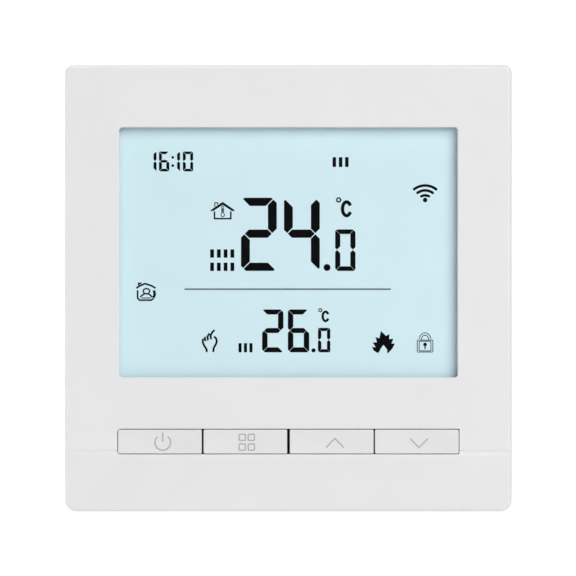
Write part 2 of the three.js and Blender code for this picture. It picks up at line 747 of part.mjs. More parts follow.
function bulkCapacitor() {
  const radius = 4;
  const height = 12.5;
  const groove = 0.35;
  const body = turned([
    [0, 0],
    [radius - 0.4, 0],
    [radius, 0.4],
    [radius, 1],
    [radius - groove, 1.4],
    [radius, 1.8],
    [radius, height - 0.5],
    [radius - 0.5, height],
    [0, height],
  ]);
  const made = mesh("bulk_capacitor", body, MATERIALS.sleeveBlack);
  placeOn(made, POWER_PARTS.capacitor, PART_SEAT);
  return made;
}

// A coated disc standing on two legs.
function varistor() {
  const disc = new THREE.CylinderGeometry(4.6, 4.6, 3, ROUND_SIDES).rotateX(Math.PI / 2);
  const raised = solid(disc.translate(0, PART_SEAT + 6.6, 0));
  const legs = [-2.5, 2.5].map((x) => block(x, 0, 0.7, 0.7, PART_SEAT, PART_SEAT + 4));
  const made = mesh("varistor", join(raised, ...legs), MATERIALS.discBlue);
  placeOn(made, POWER_PARTS.varistor, 0);
  return made;
}

function fuse() {
  const body = turned([
    [0, 0.6],
    [3.6, 0.6],
    [4, 1],
    [4, 6.4],
    [3.6, 6.8],
    [0, 6.8],
  ]);
  const legs = [-2.5, 2.5].map((x) => block(x, 0, 0.6, 0.6, 0, 1));
  const made = mesh("fuse", join(body, ...legs), MATERIALS.fuseBrown);
  placeOn(made, POWER_PARTS.fuse, PART_SEAT);
  return made;
}

// The pins that carry power and signals from the power board to the front unit.
function headerPins() {
  const tip = BOARD_BACK + 0.9;
  const seat = POWER_BOARD.front - GAP;
  const body = block(SOCKET.x, SOCKET.z, SOCKET.width - 0.6, SOCKET.height - 0.5, seat - 6.5, seat);
  const pins = pinPlaces().map(([x, z]) => block(x, z, 0.64, 0.64, tip, seat - 6));
  return mesh("header_pins", join(body, ...pins), MATERIALS.pinGold);
}

// ---------------------------------------------------------------- terminals

const polePlaces = Array.from({ length: POLES }, (_, i) => (i - (POLES - 1) / 2) * POLE_PITCH);
const WIRE = { entry: 3.8, mouth: 4.8, front: 14, z: -19 };
const CAGE = { width: 5, wall: 0.9, front: 13, top: 20.8, topWall: 1.5, length: 5.2 };
const CLAMP_SCREW = { shaft: 1.25, head: 1.95, seat: 24.2, tip: 19.1 };

// One pole's hollow: the cage pocket, the wire's way in from below and the screw's bore from behind.
function poleCutters(x) {
  const wire = [WIRE.front, WIRE.front + WIRE.entry];
  const halfEntry = WIRE.entry / 2;
  const pocket = box([x - 2.7, x + 2.7], [CAGE.front - 0.2, 23.6], [WIRE.z - 3, WIRE.z + 3]);
  const entry = box([x - halfEntry, x + halfEntry], wire, [TERMINAL.bottom - 1, WIRE.z + 5]);
  const mouthMargin = (WIRE.mouth - WIRE.entry) / 2;
  const mouth = box(
    [x - WIRE.mouth / 2, x + WIRE.mouth / 2],
    [wire[0] - mouthMargin, wire[1] + mouthMargin],
    [TERMINAL.bottom - 1, TERMINAL.bottom + 0.8],
  );
  const bore = rod(x, WIRE.z, CLAMP_SCREW.head + 0.2, 23, TERMINAL.back + 1);
  return [pocket, entry, mouth, bore];
}

// The bar that each screw's tip bears on: it runs along the wire, through the cage.
const bearingBar = (x) => box([x - 1.3, x + 1.3], [18, 19], [WIRE.z - 3.1, WIRE.z + 3.1]);

function terminalBlock() {
  const body = box(
    [-TERMINAL.halfX, TERMINAL.halfX],
    [TERMINAL.front, TERMINAL.back],
    [TERMINAL.bottom, TERMINAL.top],
  );
  const hollowed = cut(body, ...polePlaces.flatMap(poleCutters));
  return mesh("terminal_block", join(hollowed, ...polePlaces.map(bearingBar)), MATERIALS.terminalGreen);
}

// The slotted screw of one pole, its head towards +Y.
function terminalScrew(x, i) {
  const { shaft, head, seat, tip } = CLAMP_SCREW;
  const headTop = seat + 2;
  const body = turned([
    [0, tip],
    [shaft, tip + 0.3],
    [shaft, seat],
    [head, seat],
    [head, headTop - 0.3],
    [head - 0.3, headTop],
    [0, headTop],
  ]);
  const slot = block(0, 0, 2 * head + 1, 0.7, headTop - 0.9, headTop + 1);
  const made = mesh("terminal_screw_" + (i + 1), cut(body, slot), MATERIALS.zincSteel);
  made.position.set(x, 0, WIRE.z);
  return made;
}

// The rising cage of one pole: the screw runs through its top wall and lifts it onto the wire.
function terminalClamp(x, i) {
  const { width, wall, front, top, topWall, length } = CAGE;
  const outer = block(0, 0, width, length, front, top);
  const passage = block(0, 0, width - 2 * wall, length + 1, front + wall, top - topWall);
  const hole = rod(0, 0, CLAMP_SCREW.shaft + 0.1, top - topWall - 1, top + 1);
  const made = mesh("terminal_clamp_" + (i + 1), cut(outer, passage, hole), MATERIALS.brass);
  made.position.set(x, 0, WIRE.z);
  return made;
}

// ---------------------------------------------------------------- assembly

const keys = keyPlaces();

const frontUnit = new THREE.Group();
frontUnit.name = "front_unit";
frontUnit.add(
  frontCover(),
  displayWindow(),
  lcdPanel(),
  lcdBacklight(),
  ...backlightLeds(),
  lcdHolder(),
  contactStrip(),
  controlBoard(),
  controllerChip(),
  wifiModule(),
  roomSensor(),
  boardSocket(),
  unitBackPlate(),
  ...unitScrews(),
  ...keys.map(key),
  ...keys.map(switchBody),
  ...keys.map(switchPlunger),
);

const base = new THREE.Group();
base.name = "base";
base.add(
  mountingPlate(),
  rearHousing(),
  housingLid(),
  powerBoard(),
  relay(),
  transformer(),
  bulkCapacitor(),
  varistor(),
  fuse(),
  headerPins(),
  terminalBlock(),
  ...polePlaces.map(terminalScrew),
  ...polePlaces.map(terminalClamp),
  ...wallScrews(),
  ...housingScrews(),
);

const thermostat = new THREE.Group();
thermostat.name = "wall_thermostat";
thermostat.add(frontUnit, base);

export default thermostat;
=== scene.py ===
"""The looks of a flush-mounted digital room thermostat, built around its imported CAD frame.

Lengths are in millimetres up to solid_object() and flat_object(), which write metres. The face looks
along -Y, +Z is up and the wall's surface is y = 0. Figures on the display and keys are drawn in U and V,
which run right and up from the middle of the window or of the key.
"""

import json
import math

import bpy
from mathutils import Matrix, Vector


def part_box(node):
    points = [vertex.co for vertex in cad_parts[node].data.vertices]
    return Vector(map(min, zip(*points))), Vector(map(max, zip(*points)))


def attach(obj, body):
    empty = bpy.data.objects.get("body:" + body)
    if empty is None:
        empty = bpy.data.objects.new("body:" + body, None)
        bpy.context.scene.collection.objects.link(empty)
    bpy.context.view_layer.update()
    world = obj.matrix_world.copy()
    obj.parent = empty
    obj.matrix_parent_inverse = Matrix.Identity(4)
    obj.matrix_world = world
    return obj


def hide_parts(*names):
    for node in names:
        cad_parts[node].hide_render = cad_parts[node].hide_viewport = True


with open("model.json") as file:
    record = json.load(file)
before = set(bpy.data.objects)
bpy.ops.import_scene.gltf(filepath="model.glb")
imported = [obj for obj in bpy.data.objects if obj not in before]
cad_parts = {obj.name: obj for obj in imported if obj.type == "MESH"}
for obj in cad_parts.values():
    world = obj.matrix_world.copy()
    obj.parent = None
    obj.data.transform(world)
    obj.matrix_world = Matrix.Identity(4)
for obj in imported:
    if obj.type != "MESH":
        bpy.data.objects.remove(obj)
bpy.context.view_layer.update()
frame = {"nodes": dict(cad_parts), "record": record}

MM = 0.001
QUARTER = math.pi / 2
FULL_TURN = 2 * math.pi


# ---------------------------------------------------------------- places taken from the frame


def node_box(name):
    """The lowest and highest corner of a CAD node, in millimetres."""
    low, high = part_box(name)
    return Vector(low) / MM, Vector(high) / MM


def node_middle(name):
    low, high = node_box(name)
    return (low + high) / 2


COVER_LOW, COVER_HIGH = node_box("front_cover")
WINDOW_MIDDLE = node_middle("display_window")
KEY_NAMES = ("power", "menu", "up", "down")
KEY_LOW, KEY_HIGH = node_box("key_power")
KEY_ROW_Z = (KEY_LOW.z + KEY_HIGH.z) / 2
FACE_Y = COVER_LOW.y
CLEARANCE = 0.05
SKIN_BACK = node_box("display_window")[0].y - CLEARANCE  # the back of the cover's front skin
BOARD_FRONT = node_box("control_board")[0].y
POLES = range(1, 7)
OVERCUT = 1.0  # how far a cutter reaches past the surface it opens
SHELL_WALL = 2.0
MARK_THICK = 0.02
SIGN_THICK = 0.012
WINDOW = (65.2, 48.2, 0.6)  # width, height and corner radius
KEY_SLOT = (65.8, 4.9, (0.2, 0.6, 0.6, 0.2))  # the same, with a radius for each corner
KEY_CAP_HEIGHT = 4.6

# ---------------------------------------------------------------- meshes


def solid_object(name, vertices, faces, material, body, slot=None, replaces=()):
    """A piece of the object from vertices in millimetres, riding on a CAD body."""
    data = bpy.data.meshes.new(name)
    data.from_pydata([Vector(v) * MM for v in vertices], [], faces)
    data.validate()
    piece = bpy.data.objects.new(name, data)
    bpy.context.scene.collection.objects.link(piece)
    dress(piece, material, body, replaces)
    return piece


def dress(piece, material, body, replaces=()):
    """Gives a piece its material and its body, and hides the nodes it stands for."""
    piece.data.materials.clear()
    piece.data.materials.append(material)
    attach(piece, body)
    if replaces:
        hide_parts(*replaces)


def scratch_object(vertices, faces):
    """A mesh used only to join or cut another, in millimetres like its vertices."""
    data = bpy.data.meshes.new("scratch")
    data.from_pydata([Vector(v) for v in vertices], [], faces)
    scratch = bpy.data.objects.new("scratch", data)
    bpy.context.scene.collection.objects.link(scratch)
    return scratch


def shade_smooth(piece, angle=35):
    """Smooth shading up to an angle in degrees, led by the large faces."""
    piece.data.shade_smooth()
    piece.data.set_sharp_from_angle(angle=math.radians(angle))
    normals = piece.modifiers.new("normals", "WEIGHTED_NORMAL")
    normals.keep_sharp = True


CORNERS = ((1, 1), (-1, 1), (-1, -1), (1, -1))


def four(radii):
    """A radius for each corner, from one for all or one for each."""
    return radii if isinstance(radii, tuple) else (radii,) * 4


def outline(width, height, radii, middle=(0, 0), steps=8):
    """Points round a rectangle with rounded corners: top right, top left, bottom left, bottom right."""
    points = []
    for i, ((side_u, side_v), radius) in enumerate(zip(CORNERS, four(radii))):
        centre_u = middle[0] + side_u * (width / 2 - radius)
        centre_v = middle[1] + side_v * (height / 2 - radius)
        for step in range(steps + 1):
            angle = (i + step / steps) * QUARTER
            points.append((centre_u + radius * math.cos(angle), centre_v + radius * math.sin(angle)))
    return points


def loft(rings):
    """Vertices and faces of a solid through rings of (y, points in X and Z), from the front to the back."""
    count = len(rings[0][1])
    vertices = [(x, y, z) for y, points in rings for x, z in points]
    faces = [tuple(range(count))]
    for ring in range(len(rings) - 1):
        start = ring * count
        for i in range(count):
            j = (i + 1) % count
            faces.append((start + j, start + i, start + count + i, start + count + j))
    last = (len(rings) - 1) * count
    faces.append(tuple(last + i for i in reversed(range(count))))
    return vertices, faces


def fillet_rings(width, height, radii, y_front, fillet, middle=(0, 0), steps=5, corner_steps=8):
    """Rings of a solid's front edge, rounded over from its flat face to its full outline."""
    least_radius = 0.02  # keeps the points of a corner apart
    rings = []
    for step in range(steps + 1):
        angle = step / steps * QUARTER
        inset = fillet * (1 - math.sin(angle))
        shrunk = tuple(max(radius - inset, least_radius) for radius in four(radii))
        points = outline(width - 2 * inset, height - 2 * inset, shrunk, middle, corner_steps)
        rings.append((y_front + fillet * (1 - math.cos(angle)), points))
    return rings


def mouth_rings(width, height, radii, y_front, y_back, flare, middle):
    """Rings of a cutter whose hole has its front edge rounded over by flare."""
    steps = 6
    rings = []
    for step in range(steps + 1):
        angle = step / steps * QUARTER
        grown = flare * (1 - math.sin(angle))
        wider = tuple(radius + grown for radius in four(radii))
        points = outline(width + 2 * grown, height + 2 * grown, wider, middle)
        if step == 0:
            rings.append((y_front - OVERCUT, points))
        rings.append((y_front + flare * (1 - math.cos(angle)), points))
    rings.append((y_back, outline(width, height, radii, middle)))
    return rings


def prism(points, y_front, y_back):
    return loft([(y_front, points), (y_back, points)])


def box_between(low, high):
    """Vertices and faces of a box between two corners."""
    middle = ((low[0] + high[0]) / 2, (low[2] + high[2]) / 2)
    half = ((high[0] - low[0]) / 2, (high[2] - low[2]) / 2)
    points = [(middle[0] + u * half[0], middle[1] + v * half[1]) for u, v in CORNERS]
    return prism(points, low[1], high[1])


def circle(radius, sides, x=0.0, z=0.0):
    turns = [i / sides * FULL_TURN for i in range(sides)]
    return [(x + radius * math.cos(turn), z + radius * math.sin(turn)) for turn in turns]


def rod(x, z, radius, y_front, y_back, sides=32):
    return prism(circle(radius, sides, x, z), y_front, y_back)


def gathered(shapes):
    """Several (vertices, faces) shapes as one."""
    vertices, faces = [], []
    for shape_vertices, shape_faces in shapes:
        start = len(vertices)
        vertices += shape_vertices
        faces += [tuple(start + i for i in face) for face in shape_faces]
    return vertices, faces


def evaluated_mesh(scratch):
    """The mesh of an object after its modifiers, or of a text."""
    return bpy.data.meshes.new_from_object(scratch.evaluated_get(bpy.context.evaluated_depsgraph_get()))


def combined(base, operation, others):
    """base after a boolean with every one of the other shapes, as (vertices, faces)."""
    target = scratch_object(*base)
    for shape in others:
        tool = scratch_object(*shape)
        change = target.modifiers.new("change", "BOOLEAN")
        change.operation = operation
        change.solver = "EXACT"
        change.use_self = True
        change.object = tool
        result = evaluated_mesh(target)
        target.modifiers.clear()
        target.data = result
        bpy.data.objects.remove(tool)
    vertices = [tuple(v.co) for v in target.data.vertices]
    faces = [tuple(p.vertices) for p in target.data.polygons]
    bpy.data.objects.remove(target)
    return vertices, faces


# ---------------------------------------------------------------- flat figures


def clipped(polygon, a, b, least):
    """The part of a convex polygon where a * u + b * v is at least a limit."""
    kept = []
    for i, (u, v) in enumerate(polygon):
        next_u, next_v = polygon[(i + 1) % len(polygon)]
        here = a * u + b * v - least
        there = a * next_u + b * next_v - least
        if here >= 0:
            kept.append((u, v))
        if here * there < 0:
            share = here / (here - there)
            kept.append((u + share * (next_u - u), v + share * (next_v - v)))
    return kept


SEGMENTS_OF = {"0": "abcdef", "1": "bc", "2": "abged", "4": "fgbc", "6": "afgedc"}


def digit(character, u, v, width, height, level, upright, gap, cut):
    """The lit segments of one figure, as polygons, with its lower left corner at (u, v).

    level and upright are the thicknesses of the bars; cut is the bevel of the upper right corner.
    Each segment is the cell cut back to half planes (a, b, least), where a * u + b * v is at least least.
    The near and far ends of the middle bar are points, with a 45 degree slit on each side of them.
    """
    slit = gap / 2 * math.sqrt(2)
    middle = height / 2 + level * 0.08
    near, far = upright * 0.36, width - upright / 2
    left_cut, small_cut = cut * 0.95, cut * 0.65
    corner = width - height - cut * 0.42
    cell = [
        (left_cut, 0),
        (width - small_cut, 0),
        (width, small_cut),
        (width, height - cut),
        (width - cut, height),
        (small_cut, height),
        (0, height - small_cut),
        (0, left_cut),
    ]
    above_near, over_near = (-1, 1, middle - near + slit), (1, 1, middle + near + slit)
    below_near, under_near = (-1, -1, slit - middle - near), (1, -1, near - middle + slit)
    outside_far, over_far = (-1, 1, middle - far + slit), (1, 1, middle + far + slit)
    below_far, under_far = (-1, -1, slit - middle - far), (1, -1, far - middle + slit)
    rules = {
        "a": [(0, 1, height - level), (1, 1, height + slit), (-1, 1, slit - corner)],
        "b": [(1, 0, width - upright), (1, -1, corner + slit), over_far, outside_far],
        "c": [(1, 0, width - upright), (1, 1, width + slit), under_far, below_far],
        "d": [(0, -1, -level), (1, -1, slit), (-1, -1, slit - width)],
        "e": [(-1, 0, -upright), (-1, 1, slit), below_near, under_near],
        "f": [(-1, 0, -upright), (-1, -1, slit - height), above_near, over_near],
        "g": [
            (0, 1, middle - level / 2),
            (0, -1, -middle - level / 2),
            over_near,
            under_near,
            outside_far,
            below_far,
        ],
    }
    shapes = []
    for name in SEGMENTS_OF[character]:
        polygon = cell
        for a, b, least in rules[name]:
            polygon = clipped(polygon, a, b, least)
        shapes.append([(u + pu, v + pv) for pu, pv in polygon])
    return shapes


def stroke(points, width, closed=False):
    """A line of even width through points, as quads that meet in mitres."""
    count = len(points)
    sides = []
    for i, point in enumerate(points):
        before = points[i - 1] if i or closed else None
        after = points[(i + 1) % count] if i < count - 1 or closed else None
        ways = []
        if before is not None:
            ways.append((Vector(point) - Vector(before)).normalized())
        if after is not None:
            ways.append((Vector(after) - Vector(point)).normalized())
        along = sum(ways, Vector((0, 0))).normalized()
        across = Vector((-along.y, along.x))
        reach = width / 2 / max(across.dot(Vector((-ways[0].y, ways[0].x))), 0.4)
        sides.append((Vector(point) + across * reach, Vector(point) - across * reach))
    quads = []
    for i in range(count if closed else count - 1):
        (left_a, right_a), (left_b, right_b) = sides[i], sides[(i + 1) % count]
        quads.append([tuple(right_a), tuple(right_b), tuple(left_b), tuple(left_a)])
    return quads


def arc(u, v, radius_u, radius_v, start, end, steps=16):
    """Points on an ellipse between two angles in degrees."""
    angles = [math.radians(start + (end - start) * i / steps) for i in range(steps + 1)]
    return [(u + radius_u * math.cos(a), v + radius_v * math.sin(a)) for a in angles]


def disc(u, v, radius, sides=24):
    return [arc(u, v, radius, radius, 0, 360 - 360 / sides, sides - 1)]


def bar(u, v, width, height):
    """A rectangle with its lower left corner at (u, v)."""
    return [[(u, v), (u + width, v), (u + width, v + height), (u, v + height)]]


def degree_celsius(u, v, half_width, half_height, weight, ring_u, ring_v, ring):
    """A ring and a letter C, the unit of the readings."""
    letter = stroke(arc(u, v, half_width, half_height, 27, 333, 24), weight)
    return letter + stroke(disc(ring_u, ring_v, ring, 16)[0], ring * 0.7, closed=True)


def signed_area(polygon):
    """Twice a polygon's area, negative where its points run clockwise."""
    edges = zip(polygon[-1:] + polygon[:-1], polygon)
    return sum(u_a * v_b - u_b * v_a for (u_a, v_a), (u_b, v_b) in edges)


def flat_object(name, polygons, middle, y_front, thick, material, body, slot=None):
    """A thin piece from polygons in U and V about a middle in X and Z, its front at y_front."""
    shapes = []
    for polygon in polygons:
        ordered = polygon if signed_area(polygon) > 0 else list(reversed(polygon))
        points = [(middle[0] + u, middle[1] + v) for u, v in ordered]
        shapes.append(prism(points, y_front, y_front + thick))
    return solid_object(name, *gathered(shapes), material, body, slot)


# ---------------------------------------------------------------- materials


class Look:
    """A node material with short ways to add the patterns that the pieces share."""

    def __init__(self, name, color, metallic=0.0):
        self.material = bpy.data.materials.new(name)
        self.material.use_nodes = True
        self.tree = self.material.node_tree
        self.shader = self.tree.nodes["Principled BSDF"]
        self.shader.inputs["Metallic"].default_value = metallic
        self.color = color
        self.place = self.tree.nodes.new("ShaderNodeTexCoord").outputs["Object"]

    def node(self, kind, **inputs):
        made = self.tree.nodes.new(kind)
        for key, value in inputs.items():
            self.put(made.inputs[key.replace("_", " ")], value)
        return made

    def put(self, socket, value):
        if isinstance(value, bpy.types.NodeSocket):
            self.tree.links.new(value, socket)
        else:
            socket.default_value = value

    def stretched(self, scale):
        mapping = self.node("ShaderNodeMapping", Vector=self.place)
        mapping.inputs["Scale"].default_value = scale
        return mapping.outputs["Vector"]

    def noise(self, size_mm, detail=3.0, place=None):
        """Noise whose features are about size_mm wide, from 0 to 1."""
        made = self.node("ShaderNodeTexNoise", Vector=place or self.place)
        made.inputs["Scale"].default_value = 1 / (size_mm * MM)
        made.inputs["Detail"].default_value = detail
        return made.outputs["Fac"]

    def spread(self, value, low, high, start=0.3, end=0.7):
        """value mapped from start..end to low..high."""
        made = self.node("ShaderNodeMapRange", Value=value)
        for key, number in zip(("From Min", "From Max", "To Min", "To Max"), (start, end, low, high)):
            made.inputs[key].default_value = number
        return made.outputs["Result"]

    def mixed(self, share, first, second):
        made = self.tree.nodes.new("ShaderNodeMix")
        made.data_type = "RGBA"
        self.put(made.inputs["Factor"], share)
        for index, color in ((6, first), (7, second)):
            self.put(made.inputs[index], (*color, 1.0) if isinstance(color, tuple) else color)
        return made.outputs[2]

    def shades(self, share, amount):
        """The look's own colour, darker and lighter by amount, mixed by share."""
        dark = tuple(c * (1 - amount) for c in self.color)
        light = tuple(min(c * (1 + amount), 1) for c in self.color)
        return self.mixed(share, dark, light)

    def worn_edges(self, color, highlight_color, strength):
        """color, with the outer edges turned towards a lighter colour: a painted highlight along every convex
        edge.
        """
        edge = self.node("ShaderNodeNewGeometry").outputs["Pointiness"]
        return self.mixed(self.spread(edge, 0.0, strength, 0.51, 0.6), color, highlight_color)

    def bumps(self, height, strength, depth_mm):
        made = self.node("ShaderNodeBump", Height=height)
        made.inputs["Strength"].default_value = strength
        made.inputs["Distance"].default_value = depth_mm * MM
        self.put(self.shader.inputs["Normal"], made.outputs["Normal"])

    def done(self, color, roughness):
        self.put(self.shader.inputs["Base Color"], color)
        self.put(self.shader.inputs["Roughness"], roughness)
        return self.material


def moulded(name, color, roughness, grain=0.25, tone=0.012):
    """Injection-moulded plastic: fine spark texture, faint flow clouds, and outer edges made paler as a
    painted highlight.
    """
    grain_mm, cloud_mm = 0.12, 14
    look = Look(name, color)
    clouds = look.noise(cloud_mm, 2)
    texture = look.noise(grain_mm, 2)
    # pale is a painted highlight that the outer edges are mixed towards
    pale = tuple(min(c * 1.06 + 0.01, 1) for c in color)
    shaded = look.worn_edges(look.shades(look.spread(clouds, 0, 1), tone), pale, 0.5)
    look.bumps(texture, grain, 0.01)
    return look.done(shaded, look.spread(texture, roughness - 0.05, roughness + 0.05))


def brushed(name, color, roughness, stretch=(1, 1, 40)):
    """Plated or rolled metal: long fine scratches, soft blotches, and outer edges made brighter as a painted
    highlight.
    """
    look = Look(name, color, metallic=1.0)
    scratches = look.noise(3, 6, look.stretched(stretch))
    blotches = look.noise(6, 3)
    tone = look.shades(look.spread(blotches, 0, 1), 0.06)
    # bright is a painted highlight that the outer edges are mixed towards
    bright = tuple(min(c * 1.2, 1) for c in color)
    look.bumps(scratches, 0.2, 0.01)
    rough = look.spread(scratches, roughness - 0.08, roughness + 0.1)
    return look.done(look.worn_edges(tone, bright, 0.8), rough)


def circuit_board(name, color):
    """Solder resist over copper tracks, with rows of tinned pads."""
    look = Look(name, color)
    turned = look.node("ShaderNodeMapping", Vector=look.place)
    turned.inputs["Rotation"].default_value = (QUARTER, 0, 0)
    tracks = look.node("ShaderNodeTexBrick", Vector=turned.outputs["Vector"])
    tracks.inputs["Scale"].default_value = 1 / (9 * MM)
    tracks.inputs["Mortar Size"].default_value = 0.025
    tracks.inputs["Brick Width"].default_value = 2.7
    tracks.inputs["Row Height"].default_value = 0.13
    lit = tuple(min(c * 1.55 + 0.01, 1) for c in color)
    board = look.mixed(tracks.outputs["Fac"], look.shades(look.spread(look.noise(8), 0, 1), 0.1), lit)
    pads = look.node("ShaderNodeTexVoronoi", Vector=look.place)
    pads.inputs["Scale"].default_value = 1 / (4.2 * MM)
    pads.inputs["Randomness"].default_value = 0.35
    pad = look.spread(pads.outputs["Distance"], 1, 0, 0.10, 0.12)
    look.bumps(tracks.outputs["Fac"], 0.4, 0.03)
    return look.done(look.mixed(pad, board, (0.72, 0.7, 0.62)), look.spread(pad, 0.38, 0.22, 0, 1))


def display_glass():
    """The lit display: pale cyan, with the faint grain of its rear diffuser."""
    look = Look("lcd_face", (0.685, 0.855, 0.9))
    tone = look.shades(look.spread(look.noise(9, 2), 0, 1), 0.008)
    look.bumps(look.noise(0.2, 2), 0.04, 0.005)
    look.put(look.shader.inputs["Emission Color"], tone)
    look.shader.inputs["Emission Strength"].default_value = 0.04
    return look.done(tone, look.spread(look.noise(2), 0.35, 0.42))


def clear_pane():
    """Clear plastic: what is behind shows through, and the surface mirrors by Fresnel."""
    look = Look("clear_pane", (0.95, 0.98, 1.0))
    nodes = look.tree.nodes
    through = look.node("ShaderNodeBsdfTransparent")
    through.inputs["Color"].default_value = (0.985, 0.995, 1.0, 1.0)
    gloss = look.node("ShaderNodeBsdfGlossy")
    look.put(gloss.inputs["Roughness"], look.spread(look.noise(12), 0.05, 0.09))
    fresnel = look.node("ShaderNodeFresnel")
    fresnel.inputs["IOR"].default_value = 1.18
    outside = look.node("ShaderNodeMath")
    outside.operation = "SUBTRACT"
    look.put(outside.inputs[0], fresnel.outputs[0])
    look.put(outside.inputs[1], look.node("ShaderNodeNewGeometry").outputs["Backfacing"])
    outside.use_clamp = True
    mix = look.node("ShaderNodeMixShader")
    look.put(mix.inputs[0], outside.outputs[0])
    look.put(mix.inputs[1], through.outputs[0])
    look.put(mix.inputs[2], gloss.outputs[0])
    look.put(nodes["Material Output"].inputs["Surface"], mix.outputs[0])
    nodes.remove(look.shader)
    return look.material


def ink(name, color, roughness=0.5):
    """A printed or switched mark, with the slight unevenness of print."""
    look = Look(name, color)
    look.shader.inputs["Specular IOR Level"].default_value = 0.04
    rough = look.spread(look.noise(0.3), roughness - 0.1, roughness + 0.1)
    return look.done(look.shades(look.spread(look.noise(0.6), 0, 1), 0.05), rough)


def speckled(name, color, roughness, spot=0.5, tone=0.12):
    """Small parts of epoxy, ferrite, rubber or coated ceramic."""
    look = Look(name, color)
    fine = look.noise(spot, 4)
    look.bumps(fine, 0.3, 0.02)
    rough = look.spread(fine, roughness - 0.08, roughness + 0.08)
    return look.done(look.shades(look.spread(fine, 0, 1), tone), rough)


WHITE_SHELL = moulded("white_shell", (0.825, 0.825, 0.835), 0.42)
WHITE_KEY = moulded("white_key", (0.79, 0.79, 0.8), 0.38, grain=0.12)
WHITE_FRAME = moulded("white_frame", (0.74, 0.74, 0.71), 0.55, grain=0.4, tone=0.03)
WHITE_HOUSING = moulded("white_housing", (0.77, 0.77, 0.755), 0.5, grain=0.5, tone=0.03)
BLACK_PLASTIC = moulded("black_plastic", (0.018, 0.018, 0.019), 0.5, grain=0.4, tone=0.1)
GREEN_PLASTIC = moulded("green_plastic", (0.03, 0.2, 0.085), 0.42, grain=0.3, tone=0.06)
BLUE_PLASTIC = moulded("blue_plastic", (0.03, 0.1, 0.3), 0.35, tone=0.05)
PLUNGER_PLASTIC = moulded("plunger_plastic", (0.68, 0.66, 0.6), 0.45)
ZINC_STEEL = brushed("zinc_steel", (0.6, 0.61, 0.63), 0.32)
SCREW_STEEL = brushed("screw_steel", (0.62, 0.63, 0.64), 0.42, (10, 1, 10))
TIN = brushed("tin", (0.68, 0.69, 0.7), 0.3, (30, 1, 1))
BRASS = brushed("brass", (0.72, 0.52, 0.24), 0.28, (10, 1, 10))
GOLD_PINS = brushed("gold_pins", (0.8, 0.6, 0.25), 0.25, (20, 1, 20))
GREEN_BOARD = circuit_board("green_board", (0.012, 0.1, 0.045))
LCD_FACE = display_glass()
CLEAR_PANE = clear_pane()
SEGMENT_INK = ink("segment_ink", (0.002, 0.002, 0.003))
PICTOGRAM_INK = ink("pictogram_ink", (0.006, 0.008, 0.01))
RULE_INK = ink("rule_ink", (0.15, 0.19, 0.2))
KEY_PRINT = ink("key_print", (0.45, 0.45, 0.455))
NUMBER_PRINT = ink("number_print", (0.75, 0.75, 0.74))
LIGHT_GUIDE = speckled("light_guide", (0.85, 0.88, 0.86), 0.3, spot=1.2, tone=0.02)
LED_PACKAGE = speckled("led_package", (0.85, 0.8, 0.6), 0.4)
GREY_RUBBER = speckled("grey_rubber", (0.3, 0.3, 0.29), 0.8)
SENSOR_EPOXY = speckled("sensor_epoxy", (0.025, 0.02, 0.018), 0.35)
COIL_TAPE = speckled("coil_tape", (0.62, 0.38, 0.04), 0.4)
SLEEVE = speckled("capacitor_sleeve", (0.02, 0.022, 0.03), 0.35)
DISC_COATING = speckled("disc_coating", (0.03, 0.09, 0.35), 0.4)
FUSE_BROWN = speckled("fuse_brown", (0.12, 0.05, 0.03), 0.4)

MATERIAL_OF_SLOT = {
    "white_shell": WHITE_SHELL,
    "clear_pane": CLEAR_PANE,
    "display_glass": LCD_FACE,
    "light_guide": LIGHT_GUIDE,
    "led": LED_PACKAGE,
    "frame_white": WHITE_FRAME,
    "grey_rubber": GREY_RUBBER,
    "green_board": GREEN_BOARD,
    "black_plastic": BLACK_PLASTIC,
    "tin_shield": TIN,
    "sensor_epoxy": SENSOR_EPOXY,
    "plunger_plastic": PLUNGER_PLASTIC,
    "zinc_steel": ZINC_STEEL,
    "housing_white": WHITE_HOUSING,
    "relay_blue": BLUE_PLASTIC,
    "coil_tape": COIL_TAPE,
    "capacitor_sleeve": SLEEVE,
    "disc_coating": DISC_COATING,
    "fuse_brown": FUSE_BROWN,
    "pin_metal": GOLD_PINS,
    "terminal_green": GREEN_PLASTIC,
    "brass": BRASS,
    "white_key": WHITE_KEY,
}


def dress_cad_nodes():
    """Every CAD node gets its slot's material, softened edges and clean shading."""
    slot_of = {part["node"]: part["material_slot"] for part in frame["record"]["subparts"]}
    for name, node in frame["nodes"].items():
        node.data.materials.clear()
        node.data.materials.append(MATERIAL_OF_SLOT[slot_of[name]])
        weld = node.modifiers.new("weld", "WELD")
        weld.merge_threshold = 0.002 * MM
        flatten = node.modifiers.new("flatten", "DECIMATE")
        flatten.decimate_type = "DISSOLVE"
        flatten.angle_limit = math.radians(1)
        soften = node.modifiers.new("soften", "BEVEL")
        soften.width = 0.1 * MM
        soften.segments = 2
        soften.limit_method = "ANGLE"
        soften.angle_limit = math.radians(50)
        soften.use_clamp_overlap = False
        soften.harden_normals = False
        normals = node.modifiers.new("normals", "WEIGHTED_NORMAL")
        normals.keep_sharp = True


# ---------------------------------------------------------------- front cover


